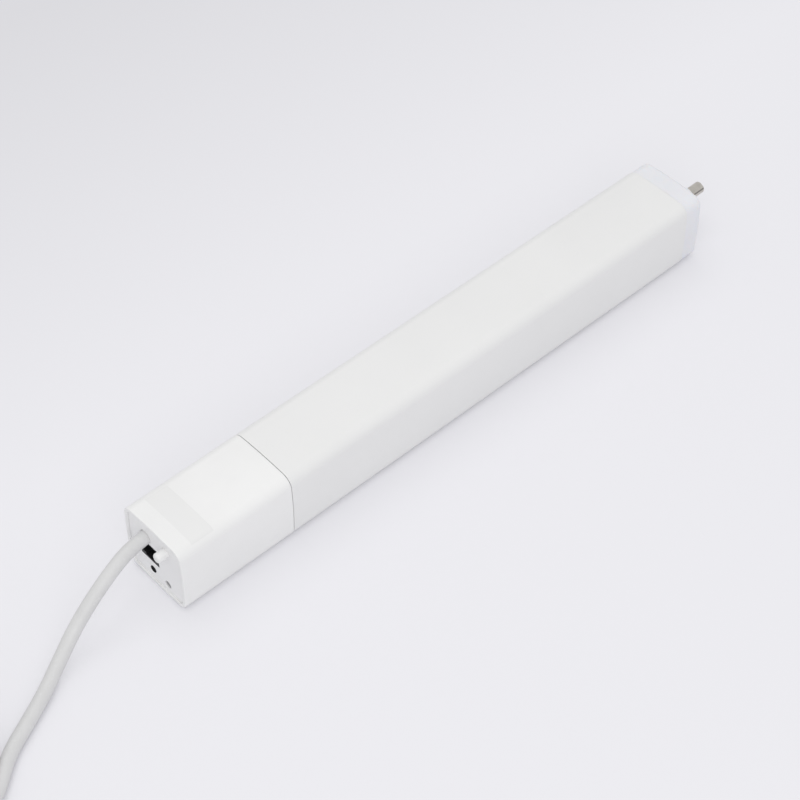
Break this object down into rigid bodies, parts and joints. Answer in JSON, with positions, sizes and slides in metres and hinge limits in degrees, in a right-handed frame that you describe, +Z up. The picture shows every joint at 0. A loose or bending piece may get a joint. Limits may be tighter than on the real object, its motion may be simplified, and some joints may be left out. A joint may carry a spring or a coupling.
{
  "type": "motorized curtain track drive",
  "caption": "Square tubular curtain-track motor with a mains cord, data port and setting button at one end and a flatted drive shaft at the other.",
  "frame": {"origin": "bottom centre of the drive's bounding box without its cord, on the surface it lies on", "axes": "+X along the drive towards its shaft, +Y to the left looking along +X, +Z up"},
  "size_m": [0.5418, 0.0971, 0.0394],
  "materials": {
    "tube_paint": "satin white powder coat",
    "cover_plastic": "smooth white",
    "plate_plastic": "fine matt white",
    "cap_plastic": "milky, slightly translucent",
    "black_plastic": "black moulded",
    "lens_plastic": "dark clear",
    "grey_plastic": "grey moulded",
    "tray_plastic": "moulded",
    "contact_metal": "gold plated",
    "circuit_board": "green solder mask",
    "terminal_plastic": "green moulded",
    "copper": "enamelled copper",
    "ferrite": "dull",
    "capacitor_sleeve": "sleeved can",
    "shield_metal": "tinned sheet",
    "wire_sheath": "insulated",
    "motor_steel": "zinc plated",
    "core_steel": "stacked sheet",
    "carbon": "carbon",
    "bronze": "sintered",
    "gear_steel": "machined",
    "shaft_steel": "ground",
    "zinc": "die cast",
    "soft_rubber": "soft",
    "cord_jacket": "satin light grey",
    "tie_strap": "woven strap",
    "plug_plastic": "light grey moulded",
    "plug_metal": "nickel plated"
  },
  "bodies": {
    "housing": {"tube_housing": "tube_paint", "front_cover": "cover_plastic", "end_plate": "plate_plastic", "drive_cap": "cap_plastic", "shaft_collar": "cap_plastic", "data_socket": "black_plastic", "tact_switches": "black_plastic", "encoder_board": "black_plastic", "status_lens": "lens_plastic", "cord_clamp": "grey_plastic", "chassis_tray": "tray_plastic", "motor_end_bell": "tray_plastic", "socket_contacts": "contact_metal", "power_board": "circuit_board", "control_board": "circuit_board", "front_board": "circuit_board", "terminal_block": "terminal_plastic", "mains_choke": "copper", "transformer_winding": "copper", "transformer_core": "ferrite", "motor_magnets": "ferrite", "bulk_capacitors": "capacitor_sleeve", "control_chips": "capacitor_sleeve", "radio_module": "shield_metal", "supply_wires": "wire_sheath", "motor_leads": "wire_sheath", "motor_can": "motor_steel", "gearbox_adapter": "motor_steel", "small_screws": "motor_steel", "gearbox_screws": "motor_steel", "bearing_outer_rings": "motor_steel", "bearing_balls": "motor_steel", "motor_brushes": "carbon", "motor_bushes": "bronze", "ring_gear": "gear_steel", "gearbox_cover": "zinc", "motor_dampers": "soft_rubber", "cord_lead": "cord_jacket", "cord_coil": "cord_jacket", "cord_tie": "tie_strap", "plug_body": "plug_plastic", "plug_pins": "plug_metal"},
    "setting_button": {"setting_button": "cover_plastic"},
    "reset_button": {"reset_button": "grey_plastic"},
    "rotor": {"rotor_shaft": "gear_steel", "armature_core": "core_steel", "armature_winding": "copper", "commutator": "copper", "encoder_magnet": "ferrite", "sun_gear": "gear_steel"},
    "first_carrier": {"first_carrier": "gear_steel"},
    "output": {"output_shaft": "shaft_steel", "bearing_inner_rings": "motor_steel"},
    "first_planet_1": {"first_planet_1": "gear_steel"},
    "first_planet_2": {"first_planet_2": "gear_steel"},
    "first_planet_3": {"first_planet_3": "gear_steel"},
    "second_planet_1": {"second_planet_1": "gear_steel"},
    "second_planet_2": {"second_planet_2": "gear_steel"},
    "second_planet_3": {"second_planet_3": "gear_steel"}
  },
  "joints": [
    {"name": "output_spin", "type": "hinge", "parent": "housing", "child": "output", "pos_m": [0.1617, 0, 0.0197], "axis": [1, 0, 0], "continuous": true},
    {"name": "rotor_spin", "type": "hinge", "parent": "housing", "child": "rotor", "pos_m": [0.0417, 0, 0.0197], "axis": [1, 0, 0], "continuous": true},
    {"name": "first_carrier_spin", "type": "hinge", "parent": "housing", "child": "first_carrier", "pos_m": [0.0867, 0, 0.0197], "axis": [1, 0, 0], "continuous": true},
    {"name": "setting_press", "type": "slide", "parent": "housing", "child": "setting_button", "axis": [1, 0, 0], "range_m": [0, 0.0008], "stiffness_N_per_m": 2500},
    {"name": "reset_press", "type": "slide", "parent": "housing", "child": "reset_button", "axis": [1, 0, 0], "range_m": [0, 0.0006], "stiffness_N_per_m": 2500},
    {"name": "first_planet_1_spin", "type": "hinge", "parent": "first_carrier", "child": "first_planet_1", "pos_m": [0.0797, 0.009, 0.0197], "axis": [1, 0, 0], "continuous": true},
    {"name": "first_planet_2_spin", "type": "hinge", "parent": "first_carrier", "child": "first_planet_2", "pos_m": [0.0797, -0.0045, 0.02749], "axis": [1, 0, 0], "continuous": true},
    {"name": "first_planet_3_spin", "type": "hinge", "parent": "first_carrier", "child": "first_planet_3", "pos_m": [0.0797, -0.0045, 0.01191], "axis": [1, 0, 0], "continuous": true},
    {"name": "second_planet_1_spin", "type": "hinge", "parent": "output", "child": "second_planet_1", "pos_m": [0.0917, 0.009, 0.0197], "axis": [1, 0, 0], "continuous": true},
    {"name": "second_planet_2_spin", "type": "hinge", "parent": "output", "child": "second_planet_2", "pos_m": [0.0917, -0.0045, 0.02749], "axis": [1, 0, 0], "continuous": true},
    {"name": "second_planet_3_spin", "type": "hinge", "parent": "output", "child": "second_planet_3", "pos_m": [0.0917, -0.0045, 0.01191], "axis": [1, 0, 0], "continuous": true}
  ],
  "couplings": [
    {"joint": "first_carrier_spin", "follows": "output_spin", "ratio": 5},
    {"joint": "rotor_spin", "follows": "output_spin", "ratio": 25},
    {"joint": "first_planet_1_spin", "follows": "output_spin", "ratio": -13.333},
    {"joint": "first_planet_2_spin", "follows": "output_spin", "ratio": -13.333},
    {"joint": "first_planet_3_spin", "follows": "output_spin", "ratio": -13.333},
    {"joint": "second_planet_1_spin", "follows": "output_spin", "ratio": -2.6667},
    {"joint": "second_planet_2_spin", "follows": "output_spin", "ratio": -2.6667},
    {"joint": "second_planet_3_spin", "follows": "output_spin", "ratio": -2.6667}
  ]
}
